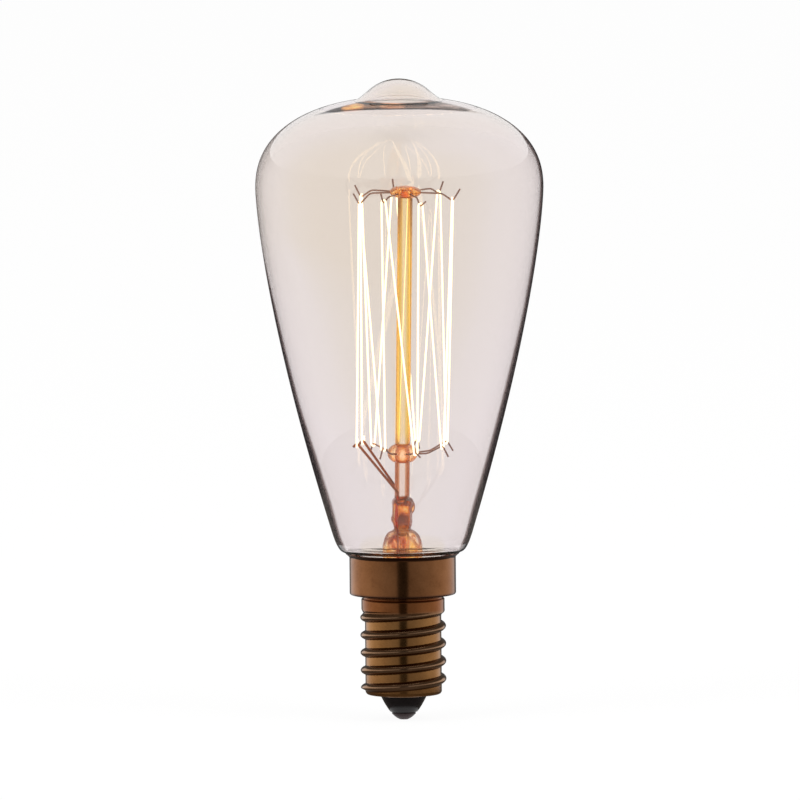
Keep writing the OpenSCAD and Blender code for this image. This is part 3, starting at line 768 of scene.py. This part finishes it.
def outer_rows():
    """The outside of the shell from its flared lip down to the curled end."""
    wall_z = CAP_Z + 0.1
    lip_foot = (SKIRT_R, wall_z)
    rows = [(LIP_R - 0.19, LIP_Z + 0.03), (LIP_R - 0.08, LIP_Z + 0.06)]
    rows += bezier((LIP_R, LIP_Z), (LIP_R - 0.27, LIP_Z - 0.3), (SKIRT_R, wall_z + 0.25), lip_foot, 10)
    rows += [(SKIRT_R, wall_z - (wall_z - SKIRT_Z - SKIRT_ROUND) * i / 6) for i in range(1, 7)]
    rows += arc((SKIRT_R - SKIRT_ROUND, SKIRT_Z + SKIRT_ROUND), SKIRT_ROUND, (15, 30, 45, 60, 75, 90))
    rows += [along((SKIRT_R - SKIRT_ROUND, SKIRT_Z), (GROOVE_R, FLOOR_Z), i / 4) for i in range(1, 5)]
    rows += [(GROOVE_R - 0.05, FLOOR_Z - 0.12), (GROOVE_R, FLOOR_Z - 0.25), (LAND_R - 0.06, FLOOR_Z - 0.33)]
    rows += [(LAND_R, STEP_Z)]
    rows += [(LAND_R, STEP_Z + (LAND_Z - STEP_Z) * i / 6) for i in range(1, 6)]
    steps = 216
    rows += [(None, LAND_Z + (THREAD_LOW_Z - LAND_Z) * i / steps) for i in range(steps + 1)]
    return rows + arc((CURL_X, THREAD_LOW_Z), CURL_R, range(10, 91, 10))


def inner_rows():
    """The inside of the shell from the mouth for the insulator up to the lip."""
    mouth_r = INSULATOR_R + 0.05
    skirt_bore = SKIRT_R - SHELL_WALL
    groove_bore = GROOVE_R - SHELL_WALL
    rows = [(mouth_r + 0.05, SHELL_Z), (mouth_r, SHELL_Z + 0.05), (mouth_r, SHELL_Z + SHELL_WALL)]
    rows += arc((CURL_X, THREAD_LOW_Z), CURL_R - SHELL_WALL, range(90, -1, -15))
    rows += [(SHELL_BORE, LAND_Z), (LAND_R - SHELL_WALL, LAND_Z + 0.8), (groove_bore, FLOOR_Z)]
    rows += [(groove_bore + 0.1, FLOOR_Z + SHELL_WALL), (skirt_bore - 0.3, SKIRT_Z + SHELL_WALL)]
    rows += [(skirt_bore, SKIRT_Z + SHELL_WALL + 0.3), (skirt_bore, CAP_Z - 0.1)]
    lip_bore = (LIP_R - 0.26, LIP_Z - 0.02)
    return rows + bezier((skirt_bore, CAP_Z), (skirt_bore, CAP_Z + 0.3), (8.6, LIP_Z - 0.3), lip_bore, 8)


def shell_rows():
    """Rings of the shell, down the outside and back up the inside: (radius or None in the screw, height)."""
    return outer_rows() + inner_rows()


def build_screw_shell():
    """The brass shell: rings whose radius follows the screw where it is rolled."""
    sides = 240
    rows = shell_rows()
    points = []
    for r, z in rows:
        for k in range(sides):
            degrees = 360 * k / sides
            a = math.radians(degrees)
            radius = screw_r(degrees, z) if r is None else r
            points.append((radius * math.cos(a), radius * math.sin(a), z))
    faces = []
    for i in range(len(rows)):
        below = (i + 1) % len(rows)
        for k in range(sides):
            j = (k + 1) % sides
            faces.append((i * sides + k, below * sides + k, below * sides + j, i * sides + j))
    piece = mesh_piece("rolled_screw_shell", points, faces, [antique_brass()])
    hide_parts("screw_shell")
    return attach(piece, "root")


# Stem
def blob(middle, radii, rings=16, sides=24, power=2.0):
    """A closed super-ellipsoid, squarer with a higher power."""

    def lift(v):
        return math.copysign(abs(v) ** (2 / power), v)

    points = [(middle[0], middle[1], middle[2] + radii[2])]
    for i in range(1, rings):
        a = math.pi * i / rings
        level = lift(math.sin(a))
        height = lift(math.cos(a))
        for k in range(sides):
            b = 2 * math.pi * k / sides
            unit = (level * lift(math.cos(b)), level * lift(math.sin(b)), height)
            points.append(tuple(m + r * u for m, r, u in zip(middle, radii, unit)))
    points.append((middle[0], middle[1], middle[2] - radii[2]))
    last = len(points) - 1
    faces = pole_and_rows(0, rings - 1, sides)
    faces += [(last, last - sides + (k + 1) % sides, last - sides + k) for k in range(sides)]
    return points, faces


def stem_profile():
    """The flare tube's outside from the dome's top down to its foot in the neck."""
    dome = [
        (STEM_R * math.sin(math.radians(a)), DOME_Z + DOME_H * math.cos(math.radians(a)))
        for a in range(0, 91, 6)
    ]
    tube = [(STEM_R, DOME_Z + (FLARE_Z - DOME_Z) * i / 4) for i in range(1, 5)]
    flare = [
        (STEM_R + (FOOT_R - STEM_R) * (i / 16) ** FLARE_POWER, FLARE_Z + (NECK_Z - FLARE_Z) * i / 16)
        for i in range(1, 17)
    ]
    return dome + tube + flare


def stem_parts():
    """Closed forms that run into each other: hollow dome and flare, the pinched press, the blown lump."""
    outside = stem_profile()
    press_middle_z = (PRESS_Z + PRESS_FOOT_Z) / 2 - 0.3
    return [
        shell_mesh(outside, inset(outside, lambda p: STEM_WALL), 64)[:2],
        blob((0.0, 0.0, press_middle_z), (1.6, 2.9, PRESS_Z - press_middle_z), 28, 48, 3.0),
        blob((0.1, 0.0, PRESS_Z - 1.2), (1.72, 2.7, 1.1), 20, 40, 2.6),
        blob((-0.1, 0.0, PRESS_FOOT_Z + 1.5), (1.75, 2.8, 1.2), 20, 40, 2.4),
        blob((1.42, -0.1, PORT_Z), (0.62, 1.1, 1.05), 20, 32, 2.2),
    ]


def melted(name, parts):
    """One mesh of forms that overlap, remeshed and smoothed."""
    points = []
    faces = []
    for part_points, part_faces in parts:
        first = len(points)
        points += part_points
        faces += [tuple(first + v for v in face) for face in part_faces]
    rough = mesh_piece(name + "_rough", points, faces)
    remesh = rough.modifiers.new("remesh", "REMESH")
    remesh.mode = "VOXEL"
    remesh.voxel_size = STEM_VOXEL * MM
    smooth = rough.modifiers.new("smooth", "SMOOTH")
    smooth.factor = 0.6
    smooth.iterations = 5
    mesh = bpy.data.meshes.new_from_object(rough.evaluated_get(bpy.context.evaluated_depsgraph_get()))
    bpy.data.objects.remove(rough)
    mesh.name = name
    mesh.materials.clear()
    return mesh


def build_stem():
    """The stem as glass is worked, with a slight wave in its surface above the dome."""
    mesh = melted("worked_stem", stem_parts())
    normals = [vertex.normal.copy() for vertex in mesh.vertices]
    for vertex, normal in zip(mesh.vertices, normals):
        place = vertex.co / MM
        worked = ease((place.z - DOME_Z) / 2)
        wave = noise.noise(Vector((place.x * 0.9, place.y * 0.9, place.z * 0.7)))
        vertex.co += normal * (STEM_WAVE * worked * wave * MM)
    for polygon in mesh.polygons:
        polygon.use_smooth = True
    mesh.materials.append(lit_glass("stem_glass", stem_colour, (1.0, 0.35, 0.06), 0.05))
    piece = link(bpy.data.objects.new("worked_stem", mesh))
    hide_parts("stem_flare")
    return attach(piece, "root")


def dress(names, material):
    """Gives CAD nodes a material and smooth faces."""
    for name in names:
        mesh = NODES[name].data
        mesh.materials.clear()
        mesh.materials.append(material)
        for polygon in mesh.polygons:
            polygon.use_smooth = True


def dress_nodes():
    hooks = [n for n in NODES if "_hook_" in n]
    dress(hooks, wire("support_wire", (0.45, 0.27, 0.22)))
    dress(["filament"], glowing_filament())
    dress(["inner_lead_front", "inner_lead_back"], wire("lead_wire", (0.45, 0.15, 0.07)))
    dress(["seal_wire_front", "seal_wire_back"], wire("seal_wire", (0.85, 0.08, 0.03)))
    dress(["outer_lead_centre", "outer_lead_side"], wire("copper_wire", (0.7, 0.22, 0.1)))
    dress(["stem_rod"], lit_glass("rod_glass", rod_colour, (1.0, 0.55, 0.1), 0.03))
    dress(["upper_button"], lit_glass("button_glass", button_colour, (1.0, 0.4, 0.05), 0.07))
    dress(["lower_bead"], lit_glass("bead_glass", bead_colour, (1.0, 0.5, 0.2), 0.08))
    dress(["exhaust_tube"], glass("tube_glass", (0.95, 0.8, 0.66)))
    dress(["insulator"], black_glass())
    dress(["centre_solder", "side_solder", "contact_eyelet"], dull_solder())
    dress(["basing_cement"], baked_cement())


# Stage
FLOOR_R = 8000.0
FLOOR_WHITE = 0.92
WORLD_ON_OBJECT = 0.85
WORLD_SEEN = 1.0
LAMP_WATTS = 9.0
LAMP_SIZE = 0.8


def camera():
    """The camera, aimed so that the lamp's origin falls on ORIGIN_PX."""
    data = bpy.data.cameras.new("camera")
    obj = link(bpy.data.objects.new("camera", data))
    data.sensor_width = SENSOR
    data.lens = CAMERA_DISTANCE * SENSOR / (FRAME_PX / PX_PER_MM * MM)
    data.clip_start = 0.1
    data.clip_end = 60.0
    up_lamp = Vector((0, math.sin(ELEVATION), math.cos(ELEVATION)))
    back = Vector((0, -math.cos(ELEVATION), math.sin(ELEVATION)))
    right = Vector((math.cos(ROLL), 0, 0)) - math.sin(ROLL) * up_lamp
    up = Vector((math.sin(ROLL), 0, 0)) + math.cos(ROLL) * up_lamp
    centre_x = (FRAME_PX / 2 - ORIGIN_PX[0]) / PX_PER_MM * MM
    centre_y = (ORIGIN_PX[1] - FRAME_PX / 2) / PX_PER_MM * MM
    aim = right * centre_x + up * centre_y
    obj.matrix_world = Matrix((
        (right.x, up.x, back.x, aim.x + back.x * CAMERA_DISTANCE),
        (right.y, up.y, back.y, aim.y + back.y * CAMERA_DISTANCE),
        (right.z, up.z, back.z, aim.z + back.z * CAMERA_DISTANCE),
        (0, 0, 0, 1),
    ))
    bpy.context.scene.camera = obj


def studio_floor():
    """A pale floor, white to the camera and through glass, where a little of its own shading is left."""
    corners = [(x * FLOOR_R, y * FLOOR_R, 0) for x, y in ((-1, -1), (1, -1), (1, 1), (-1, 1))]
    floor = mesh_piece("floor", corners, [(0, 1, 2, 3)], smooth=False)
    shader = Shader("pale_floor")
    path = shader.node("LightPath").outputs
    clear = shader.math("MAXIMUM", path["Is Glossy Ray"], path["Is Transmission Ray"])
    seen = shader.math("MAXIMUM", path["Is Camera Ray"], clear)
    share = shader.math("MULTIPLY", seen, FLOOR_WHITE)
    diffuse = shader.node("BsdfDiffuse", {"Color": (0.86, 0.855, 0.85, 1)})
    white = shader.node("Emission", {"Color": (1, 1, 1, 1), "Strength": 1.0})
    mixed = shader.node("MixShader", {0: share, 1: diffuse.outputs[0], 2: white.outputs[0]})
    shader.links.new(mixed.outputs[0], shader.output.inputs["Surface"])
    floor.data.materials.append(shader.material)


TENT_R = 50.0
TENT_TOP = 100.0
CARD_R = 3.5
CARD_Z = 0.6
NUB_CARD = 7.0
NUB_CARD_Y = 45
NUB_CARD_Z = (99, 122)
SHELF_R = 11.6
SHELF_Z = 27.3
TENT_GLOW = [
    (-1.0, 0.1), (-0.83, 0.12), (-0.79, 1.0), (-0.69, 1.2), (-0.55, 0.95), (-0.37, 0.72), (-0.17, 0.44),
    (-0.072, 0.38), (-0.05, 0.05), (0.05, 0.05), (0.07, 0.34), (0.17, 0.38), (0.37, 0.6), (0.55, 0.85),
    (0.69, 1.1), (0.77, 0.95), (0.81, 0.12),
]


# The tent is dark behind the lamp above the brass, so that the glass's edges stay dark
TENT_DARK_TURN = (0.45, 0.68)
TENT_DARK_Z = (27.0, 27.4)


def tent_cloth():
    """Cloth whose glow follows the bearing round the lamp: the back is -1 and 1, the front 0."""
    shader = Shader("tent_cloth")
    x, y, z = shader.place()[:3]
    turn = shader.math("DIVIDE", shader.math("ARCTAN2", x, shader.math("MULTIPLY", y, -1.0)), math.pi)
    glow = shader.ramp(shader.span(turn, -1.0, 1.0), [((a + 1) / 2, (g, g, g)) for a, g in TENT_GLOW])
    behind = shader.span(shader.math("ABSOLUTE", turn), *TENT_DARK_TURN)
    shade = shader.math("MULTIPLY", behind, shader.span(z, *TENT_DARK_Z))
    glow = shader.mix(shade, glow, (0.06, 0.05, 0.05, 1))
    cloth = shader.node("Emission", {"Color": glow, "Strength": 1.0})
    shader.links.new(cloth.outputs[0], shader.output.inputs["Surface"])
    return shader.material


def dark_card():
    """Dark grey card."""
    shader = Shader("dark_card")
    card = shader.node("Emission", {"Color": (0.14, 0.125, 0.11, 1), "Strength": 1.0})
    shader.links.new(card.outputs[0], shader.output.inputs["Surface"])
    return shader.material


def seen_by_reflections(name, points, faces, material):
    """A piece of the stage that only reflections see."""
    piece = mesh_piece(name, points, faces)
    material.cycles.emission_sampling = "NONE"
    piece.data.materials.append(material)
    for kind in ("camera", "diffuse", "transmission", "volume_scatter", "shadow"):
        setattr(piece, "visible_" + kind, False)


def light_tent():
    """A tent, bright at the sides and dark in front and behind, with dark cards below, above and behind."""
    sides = 180
    faces = ring_faces(sides)
    walls = ring_points([(TENT_R, CARD_Z), (TENT_R, TENT_TOP)], sides)
    seen_by_reflections("light_tent", walls, faces, tent_cloth())
    ground = ring_points([(CARD_R, CARD_Z), (TENT_R, CARD_Z)], sides)
    seen_by_reflections("dark_card", ground, faces, dark_card())
    low, high = NUB_CARD_Z
    card = [(-NUB_CARD, NUB_CARD_Y, low), (NUB_CARD, NUB_CARD_Y, low)]
    card += [(NUB_CARD, NUB_CARD_Y, high), (-NUB_CARD, NUB_CARD_Y, high)]
    seen_by_reflections("nub_card", card, [(0, 1, 2, 3)], dark_card())
    shelf = ring_points([(SHELF_R, SHELF_Z), (TENT_R, SHELF_Z)], sides)
    seen_by_reflections("dark_shelf", shelf, faces, dark_card())


def area_lamp(name, place, aim, size, watts):
    """A softbox that lights the lamp but shows in no reflection."""
    data = bpy.data.lights.new(name, "AREA")
    data.size = size
    data.energy = watts
    obj = link(bpy.data.objects.new(name, data))
    obj.location = place
    obj.rotation_mode = "QUATERNION"
    obj.rotation_quaternion = (Vector(aim) - Vector(place)).to_track_quat("-Z", "Y")
    obj.visible_glossy = False
    obj.visible_transmission = False
    return obj


def studio_light():
    """A white world, a little dimmer for the light that it sheds than to the eye, and two softboxes."""
    world = bpy.data.worlds.new("studio")
    bpy.context.scene.world = world
    world.use_nodes = True
    nodes = world.node_tree.nodes
    links = world.node_tree.links
    background = nodes["Background"]
    path = nodes.new("ShaderNodeLightPath")
    clear = nodes.new("ShaderNodeMath")
    clear.operation = "MAXIMUM"
    links.new(path.outputs["Is Glossy Ray"], clear.inputs[0])
    links.new(path.outputs["Is Transmission Ray"], clear.inputs[1])
    seen = nodes.new("ShaderNodeMath")
    seen.operation = "MAXIMUM"
    links.new(path.outputs["Is Camera Ray"], seen.inputs[0])
    links.new(clear.outputs[0], seen.inputs[1])
    strength = nodes.new("ShaderNodeMapRange")
    strength.inputs["To Min"].default_value = WORLD_ON_OBJECT
    strength.inputs["To Max"].default_value = WORLD_SEEN
    links.new(seen.outputs[0], strength.inputs["Value"])
    links.new(strength.outputs["Result"], background.inputs["Strength"])
    background.inputs["Color"].default_value = (1, 1, 1, 1)
    centre = (0, 0, 0.05)
    for name, side in (("softbox_left", -1), ("softbox_right", 1)):
        area_lamp(name, (side * 0.9, -0.7, 0.9), centre, LAMP_SIZE, LAMP_WATTS)


camera()
build_envelope()
build_screw_shell()
build_stem()
dress_nodes()
studio_floor()
light_tent()
studio_light()
bpy.context.scene.view_settings.view_transform = "Standard"
